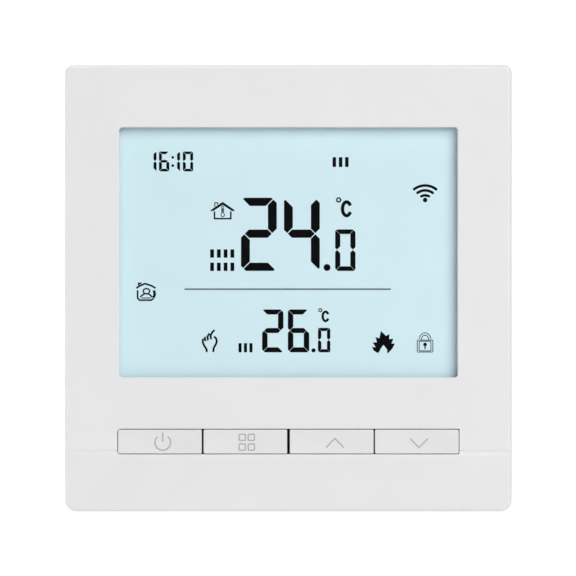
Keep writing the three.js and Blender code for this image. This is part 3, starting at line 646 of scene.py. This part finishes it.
def front_cover():
    """The white shell: rounded face, window, key slot, side groove, air slots and pry notches."""
    width = COVER_HIGH.x - COVER_LOW.x
    height = COVER_HIGH.z - COVER_LOW.z
    rim = COVER_HIGH.y
    corners = (1.4, 1.4, 2.2, 2.2)  # the lower corners are rounder than the upper ones
    face_fillet, rim_chamfer = 0.8, 0.15
    window_flare, key_slot_flare = 0.16, 0.07
    rings = fillet_rings(width, height, corners, FACE_Y, face_fillet, steps=8)
    rings.append((rim - rim_chamfer, outline(width, height, corners)))
    rim_corners = tuple(radius - 0.1 for radius in corners)
    rings.append((rim, outline(width - 2 * rim_chamfer, height - 2 * rim_chamfer, rim_corners)))
    inner = width - 2 * SHELL_WALL
    cavity = prism(outline(inner, inner, 1), SKIN_BACK, rim + OVERCUT)
    cut_back = SKIN_BACK + OVERCUT
    window = mouth_rings(*WINDOW, FACE_Y, cut_back, window_flare, (0, WINDOW_MIDDLE.z))
    key_slot = mouth_rings(*KEY_SLOT, FACE_Y, cut_back, key_slot_flare, (0, KEY_ROW_Z))
    holes = gathered([cavity, loft(window), loft(key_slot)])
    cuts = [holes, side_groove(width), air_slots(height), pry_notches(rim)]
    shell = combined(loft(rings), "DIFFERENCE", cuts)
    made = combined(shell, "UNION", [cover_inside()])
    piece = solid_object("cover_shell", *made, WHITE_SHELL, "front_unit", "white_shell", ["front_cover"])
    shade_smooth(piece, 20)


def side_groove(width):
    """The shallow groove beside the keys: a steep upper wall, a narrow floor and a slope back out below."""
    depth, top, slope_start, bottom = 0.22, -31.1, -31.6, -32.2
    draft = 0.12
    profile = [
        (FACE_Y - OVERCUT, bottom),
        (FACE_Y, bottom),
        (FACE_Y + depth, slope_start),
        (FACE_Y + depth, top - draft),
        (FACE_Y, top),
        (FACE_Y - OVERCUT, top),
    ]
    half = width / 2 + OVERCUT
    count = len(profile)
    vertices = [(x, y, z) for x in (-half, half) for y, z in profile]
    faces = [tuple(reversed(range(count))), tuple(range(count, 2 * count))]
    faces += [(i, (i + 1) % count, count + (i + 1) % count, count + i) for i in range(count)]
    return vertices, faces


def air_slots(height):
    """Cutters for the slots in the top and bottom walls."""
    pitch, half_length, reach = 7, 2.5, 2.4
    front, back = -8.2, -7.0
    shapes = []
    for z in (-height / 2, height / 2):
        for i in range(-4, 5):
            low = (pitch * i - half_length, front, z - reach)
            shapes.append(box_between(low, (pitch * i + half_length, back, z + reach)))
    return gathered(shapes)


def pry_notches(rim):
    """Cutters for the two notches under the lower edge, where a blade lifts the front unit off."""
    half_length, height, depth = 2.5, 0.8, 1
    shapes = []
    for x in (-12, 12):
        low = (x - half_length, rim - depth, COVER_LOW.z - OVERCUT)
        shapes.append(box_between(low, (x + half_length, rim + OVERCUT, COVER_LOW.z + height)))
    return gathered(shapes)


def cover_inside():
    """Screw bosses and snap noses inside the shell."""
    boss_radius, bore_radius, root = 2.1, 1.1, 0.3
    boss_back = BOARD_FRONT - CLEARANCE
    shapes = []
    for i in range(1, 5):
        middle = node_middle(f"unit_screw_{i}")
        ring = rod(middle.x, middle.z, boss_radius, SKIN_BACK - root, boss_back)
        bore = rod(middle.x, middle.z, bore_radius, SKIN_BACK + OVERCUT, boss_back + OVERCUT)
        shapes.append(combined(ring, "DIFFERENCE", [bore]))
    nose_wall, nose_tip, nose_half = 41.3, 40.4, 3
    nose_front, nose_back = -3.2, -2.2
    for x in (-20, 20):
        for side in (-1, 1):
            low_z, high_z = sorted((side * nose_wall, side * nose_tip))
            shapes.append(box_between((x - nose_half, nose_front, low_z), (x + nose_half, nose_back, high_z)))
    return gathered(shapes)


# ---------------------------------------------------------------- display


def display_marks():
    """Every figure and pictogram that the display shows, in front of its glass."""
    front = node_box("lcd_panel")[0].y - MARK_THICK
    spread = 1.005  # the figures fill the window a little more than their nominal sizes
    middle = (WINDOW_MIDDLE.x, WINDOW_MIDDLE.z)

    def mark(name, polygons, material=SEGMENT_INK, at=(0, 0)):
        moved = [[((u + at[0]) * spread, (v + at[1]) * spread) for u, v in polygon] for polygon in polygons]
        flat_object(name, moved, middle, front, MARK_THICK, material, "front_unit", "black_plastic")

    big = {"width": 6.88, "height": 14.08, "level": 1.58, "upright": 1.7, "gap": 0.17, "cut": 1.0}
    room_figures = digit("2", -9.12, -3.54, **big) + digit("4", -0.85, -3.54, **big)
    mark("room_reading", room_figures + disc(7.42, -2.88, 0.66))
    mark("room_tenths", digit("0", 9.0, -3.54, 3.9, 7.98, 0.88, 0.98, 0.05, 0.5))
    mark("room_unit", degree_celsius(11.2, 8.41, 0.8, 1.32, 0.65, 9.67, 10.12, 0.39))
    middling = {"width": 4.1, "height": 8.24, "level": 0.96, "upright": 1.04, "gap": 0.06, "cut": 0.55}
    mark("set_reading", digit("2", -5.06, -19.2, **middling) + digit("6", -0.1, -19.2, **middling))
    mark("set_tenths", disc(4.83, -18.83, 0.4) + digit("0", 5.69, -19.2, 2.37, 4.7, 0.6, 0.64, 0.03, 0.3))
    mark("set_unit", degree_celsius(7.15, -12.28, 0.56, 0.9, 0.45, 6.12, -11.1, 0.29))
    small = {"width": 1.98, "height": 3.82, "level": 0.5, "upright": 0.56, "gap": 0.06, "cut": 0.24}
    hours = digit("1", -27.36, 15.61, **small) + digit("6", -24.9, 15.61, **small)
    minutes = digit("1", -22.83, 15.61, **small) + digit("0", -20.31, 15.61, **small)
    colon = disc(-22.25, 18.3, 0.26) + disc(-22.25, 16.72, 0.26)
    mark("clock_reading", hours + colon + minutes)
    mark("divider", bar(-20.0, -7.2, 39.7, 0.3), RULE_INK)
    mark("weekday_bars", word_bars(8.5, 16.46, 3, 1.2, 1.88))
    mark("room_label_bars", word_bars(-15.05, -0.99, 4, 1.3, 1.6) + word_bars(-15.05, -3.55, 4, 1.3, 1.6))
    mark("set_label_bars", word_bars(-9.6, -19.2, 3, 1.05, 1.76))
    mark("wireless_pictogram", wireless(), at=(26.3, 9.45))
    mark("room_pictogram", house_with_thermometer(), PICTOGRAM_INK, (-12.65, 8.07))
    mark("presence_pictogram", house_with_person(), PICTOGRAM_INK, (-27.36, -7.54))
    mark("manual_pictogram", hand(), at=(-15.1, -17.0))
    mark("heating_pictogram", flame(), at=(18.22, -17.28))
    mark("lock_pictogram", padlock(), PICTOGRAM_INK, (26.29, -17.25))


def word_bars(u, v, count, pitch, height):
    """Plain bars where the real display has a word."""
    return [shape for i in range(count) for shape in bar(u + i * pitch, v, pitch * 0.56, height)]


def wireless():
    weight = 0.5
    shapes = disc(0, 0.66, 0.44)
    for radius, start in ((1.55, 62), (2.5, 54), (3.45, 52)):
        wave = arc(0, 0, radius, radius, start, 180 - start)
        shapes += stroke(wave, weight) + disc(*wave[0], weight / 2, 12) + disc(*wave[-1], weight / 2, 12)
    return shapes


def house_outline(half, eaves, ridge, floor, weight):
    """A roof line and, under it, walls with a floor."""
    roof = stroke([(-half, eaves), (0, ridge), (half, eaves)], weight)
    wall = half * 0.7
    walls = stroke([(-wall, eaves - 0.1), (-wall, floor), (wall, floor), (wall, eaves - 0.1)], weight)
    return roof + walls


def house_with_thermometer():
    chimney = stroke([(-1.5, 0.75), (-1.5, 1.5), (-0.95, 1.5), (-0.95, 1.15)], 0.19)
    eaves = stroke([(-1.9, -0.05), (0, 1.2), (1.9, -0.05)], 0.17)
    stem = stroke([(-0.19, -0.5), (-0.19, 0.75), (0, 0.9), (0.19, 0.75), (0.19, -0.5)], 0.13)
    bulb = stroke(arc(0, -0.82, 0.34, 0.34, 120, 420, 14), 0.15)
    filled = bar(-0.09, -0.45, 0.18, 0.9)
    return house_outline(2.24, -0.05, 1.5, -1.55, 0.3) + chimney + eaves + stem + bulb + filled


def house_with_person():
    roof = stroke([(-1.9, 0.68), (-1.2, 1.15), (-0.2, 1.55), (1.0, 1.15), (1.8, 0.7)], 0.34)
    chimney = stroke([(-1.45, 1.2), (-1.45, 1.62), (-0.9, 1.62)], 0.3)
    left = stroke([(-1.65, 0.3), (-1.65, -1.2), (-1.3, -1.62), (1.0, -1.62), (1.45, -1.25)], 0.32)
    right = stroke([(1.4, -1.15), (1.65, -0.55), (1.5, 0.25)], 0.5)
    head = stroke(arc(0.05, 0.1, 0.62, 0.5, -50, 230, 16), 0.27)
    left_arm = [(-1.15, -1.05), (-0.8, -0.7), (-0.35, -0.4)]
    right_arm = [(0.4, -0.4), (0.85, -0.7), (1.15, -1.05)]
    shoulders = stroke(left_arm + right_arm, 0.3)
    chest = bar(-0.9, -1.3, 1.8, 0.18)
    return roof + chimney + left + right + head + shoulders + chest


def hand():
    """A raised hand: four fingers, the thumb's side and the wrist."""
    weight = 0.38
    lines = [
        [(-0.63, -2.15), (-0.63, -1.65), (-1.1, -0.95), (-1.38, -0.3), (-1.36, 0.2), (-1.22, 0.4)],
        [(-0.85, -0.05), (-0.98, 0.45), (-0.85, 0.8)],
        [(-0.4, 0.1), (-0.45, 0.85), (-0.1, 1.45)],
        [(0.22, 0.3), (0.12, 1.0), (0.4, 1.6), (0.9, 2.1)],
        [(0.8, 0.85), (1.2, 0.45), (1.32, -0.1), (1.1, -0.75), (0.75, -1.3), (0.63, -2.15)],
    ]
    return [quad for line in lines for quad in stroke(line, weight)]


def flame():
    """A fire with ragged tongues on both sides and a hollow foot, as slices about its heart."""
    left = [(-0.4, 2.13), (-0.69, 0.75), (-1.4, 1.0), (-1.15, 0.0), (-1.94, -0.04), (-1.35, -0.94)]
    left += [(-2.08, -0.83), (-1.77, -1.5), (-0.98, -2.02), (-0.69, -1.71), (-0.52, -1.29), (0.06, -0.46)]
    right = [(0.79, -1.4), (0.73, -1.71), (0.83, -2.13), (1.77, -1.08), (2.15, -0.21), (1.56, -0.25)]
    right += [(1.88, 0.69), (1.1, 0.58), (1.19, 1.56), (0.52, 1.21)]
    widened, heightened = 1.04, 1.03
    return [[(widened * u, heightened * v) for u, v in left + right]]


def padlock():
    """A lock's body in two outlines, a shackle and a keyhole."""
    weight = 0.15
    body = stroke(outline(3.0, 2.3, 0.15, (0, -0.75), 2), weight, closed=True)
    inner = stroke(outline(2.25, 1.85, 0.1, (0, -0.75), 2), weight, closed=True)
    shackle = stroke(arc(0, 0.35, 1.15, 1.45, 12, 168), weight)
    inner_shackle = stroke(arc(0, 0.35, 0.72, 1.0, 8, 172), weight)
    keyhole = disc(0, -0.45, 0.36) + bar(-0.12, -1.35, 0.24, 0.8)
    return body + inner + shackle + inner_shackle + keyhole


# ---------------------------------------------------------------- keys


def key_caps():
    """Each key with its rounded cap, retaining flange and stem."""
    corner, fillet, steps = 0.25, 0.22, 4
    flange_front = SKIN_BACK + CLEARANCE
    flange_back = flange_front + 0.7
    stem_width = 2.4
    for name in KEY_NAMES:
        node = "key_" + name
        low, high = node_box(node)
        middle = ((low.x + high.x) / 2, KEY_ROW_Z)
        width = high.x - low.x
        face = outline(width, KEY_CAP_HEIGHT, corner, middle, steps)
        flange = outline(width, high.z - low.z, corner, middle, steps)
        stem = outline(stem_width, stem_width, stem_width / 2, middle, steps)
        front = low.y + SIGN_THICK
        rings = fillet_rings(width, KEY_CAP_HEIGHT, corner, front, fillet, middle, corner_steps=steps)
        rings += [(flange_front, face), (flange_front, flange)]
        rings += [(flange_back, flange), (flange_back, stem), (high.y, stem)]
        cap = solid_object("cap_" + name, *loft(rings), WHITE_KEY, node, "white_key", replaces=[node])
        shade_smooth(cap)


def key_pictograms():
    """The grey signs printed on the keys."""
    weight = 0.25
    squares = [outline(1.2, 1.2, 0.18, (u, v), 3) for u in (-0.87, 0.87) for v in (-0.94, 0.94)]
    open_ring = stroke(arc(0, -0.25, 1.5, 1.5, 132, 408, 28), weight)
    signs = {
        "power": open_ring + stroke([(0, 1.65), (0, -0.1)], weight),
        "menu": [quad for square in squares for quad in stroke(square, weight, closed=True)],
        "up": stroke([(-1.7, -0.9), (0, 0.9), (1.7, -0.9)], weight),
        "down": stroke([(-1.7, 0.9), (0, -0.85), (1.7, 0.9)], weight),
    }
    places = {
        "power": (-24.15, -29.4),
        "menu": (-8.0, -29.6),
        "up": (8.93, -29.75),
        "down": (25.1, -29.8),
    }
    for name, polygons in signs.items():
        key = "key_" + name
        front = node_box(key)[0].y
        flat_object("sign_" + name, polygons, places[name], front, SIGN_THICK, KEY_PRINT, key, "white_key")


# ---------------------------------------------------------------- screws and back


def threaded_profile(radius, pitch, depth, y_head, y_tip, taper):
    """Rings of a screw's shaft whose radius follows a helix, and shrinks over the last stretch."""
    sides, per_turn = 32, 12
    count = int(abs(y_tip - y_head) / pitch * per_turn)
    rings = []
    for step in range(count + 1):
        y = y_head + (y_tip - y_head) * step / count
        narrowing = min(1.0, abs(y_tip - y) / taper * 0.7 + 0.3)
        points = []
        for i in range(sides):
            wave = abs(2 * ((y / pitch + i / sides) % 1) - 1)
            at = i / sides * FULL_TURN
            reach = (radius - depth * wave) * narrowing
            points.append((reach * math.cos(at), reach * math.sin(at)))
        rings.append((y, points))
    return rings


def wall_screws():
    """The two long screws that hold the plate on the wall box, with real threads."""
    head_width, head_thick, head_fillet = 7.6, 1.9, 1.1
    core_radius, thread_radius, pitch, thread_depth, taper = 1.65, 1.9, 0.9, 0.3, 1.5
    arm, half, recess_depth = 2.2, 0.55, 1.3
    for side in ("left", "right"):
        node = "wall_screw_" + side
        low, high = node_box(node)
        middle = node_middle(node)
        head_back = low.y + head_thick
        head = fillet_rings(head_width, head_width, head_width / 2, low.y, head_fillet, corner_steps=10)
        head.append((head_back, outline(head_width, head_width, head_width / 2, steps=10)))
        neck = rod(0, 0, core_radius, head_back - 0.3, head_back + 1.4, 40)
        thread_start = head_back + 1.0
        thread = threaded_profile(thread_radius, pitch, thread_depth, thread_start, high.y, taper)
        cross_front, cross_back = low.y - OVERCUT, low.y + recess_depth
        cross = [
            box_between((-arm, cross_front, -half), (arm, cross_back, half)),
            box_between((-half, cross_front, -arm), (half, cross_back, arm)),
        ]
        made, faces = combined(combined(loft(head), "DIFFERENCE", cross), "UNION", [neck, loft(thread)])
        placed = [(x + middle.x, y, z + middle.z) for x, y, z in made]
        name = "thread_screw_" + side
        piece = solid_object(name, placed, faces, SCREW_STEEL, "base", "zinc_steel", replaces=[node])
        shade_smooth(piece, 60)


def pole_numbers():
    """Generic numbers over the six screws, on the back of the terminal block."""
    text_size, from_top = 2.2, 2.1
    block = node_box("terminal_block")[1]
    for pole in POLES:
        x = node_middle(f"terminal_screw_{pole}").x
        text = bpy.data.curves.new("number", "FONT")
        text.body = str(pole)
        text.size = text_size * MM
        text.extrude = MARK_THICK / 2 * MM
        text.align_x = "CENTER"
        drawn = bpy.data.objects.new("number", text)
        bpy.context.scene.collection.objects.link(drawn)
        data = evaluated_mesh(drawn)
        bpy.data.objects.remove(drawn)
        data.transform(Matrix.Rotation(math.pi, 4, "Z") @ Matrix.Rotation(QUARTER, 4, "X"))
        middle = Vector((x, block.y + MARK_THICK / 2, block.z - from_top))
        data.transform(Matrix.Translation(middle * MM))
        piece = bpy.data.objects.new(f"pole_number_{pole}", data)
        bpy.context.scene.collection.objects.link(piece)
        dress(piece, NUMBER_PRINT, "base")


# ---------------------------------------------------------------- stage, light and camera


def stage():
    """A plain pale floor under the object."""
    floor_z, radius, sides = -0.26, 1.5, 96  # in metres
    data = bpy.data.meshes.new("floor")
    data.from_pydata([(x, y, floor_z) for x, y in circle(radius, sides)], [], [tuple(range(sides))])
    floor = bpy.data.objects.new("floor", data)
    bpy.context.scene.collection.objects.link(floor)
    look = Look("pale_floor", (0.9, 0.9, 0.9))
    data.materials.append(look.done(look.shades(look.spread(look.noise(60), 0, 1), 0.01), 0.8))


def area_light(name, place, size, watts):
    """A soft lamp at a place in metres, aimed at the face."""
    data = bpy.data.lights.new(name, "AREA")
    data.size = size
    data.energy = watts
    lamp = bpy.data.objects.new(name, data)
    lamp.location = place
    aim = Vector((0, FACE_Y * MM, 0)) - Vector(place)
    lamp.rotation_euler = aim.to_track_quat("-Z", "Y").to_euler()
    bpy.context.scene.collection.objects.link(lamp)


def light_and_camera():
    world = bpy.data.worlds.new("studio")
    world.use_nodes = True
    tree = world.node_tree
    ambient = tree.nodes["Background"]
    ambient.inputs["Color"].default_value = (1, 1, 1, 1)
    ambient.inputs["Strength"].default_value = 0.2
    seen = tree.nodes.new("ShaderNodeBackground")
    seen.inputs["Color"].default_value = (1, 1, 1, 1)
    seen.inputs["Strength"].default_value = 1.05
    path = tree.nodes.new("ShaderNodeLightPath")
    mix = tree.nodes.new("ShaderNodeMixShader")
    tree.links.new(path.outputs["Is Camera Ray"], mix.inputs[0])
    tree.links.new(ambient.outputs[0], mix.inputs[1])
    tree.links.new(seen.outputs[0], mix.inputs[2])
    tree.links.new(mix.outputs[0], tree.nodes["World Output"].inputs["Surface"])
    bpy.context.scene.world = world
    area_light("key_light", (1.1, -2.2, 1.15), 1.8, 50)
    area_light("left_fill", (-1.8, -0.04, -0.1), 0.6, 12)
    area_light("top_fill", (-0.3, -0.04, 1.8), 0.6, 9)
    area_light("back_fill", (-0.9, 1.8, 1.0), 1.2, 22)
    view_width = 110.8 * MM
    lens, sensor = 150, 36
    camera_data = bpy.data.cameras.new("camera")
    camera_data.lens = lens
    camera_data.sensor_width = sensor
    camera = bpy.data.objects.new("camera", camera_data)
    distance = view_width * lens / sensor
    camera.location = (-0.08 * MM, FACE_Y * MM - distance, 0.04 * MM)
    camera.rotation_euler = (QUARTER, 0, 0)
    bpy.context.scene.collection.objects.link(camera)
    bpy.context.scene.camera = camera
    bpy.context.scene.view_settings.view_transform = "Standard"


dress_cad_nodes()
front_cover()
display_marks()
key_caps()
key_pictograms()
wall_screws()
pole_numbers()
stage()
light_and_camera()
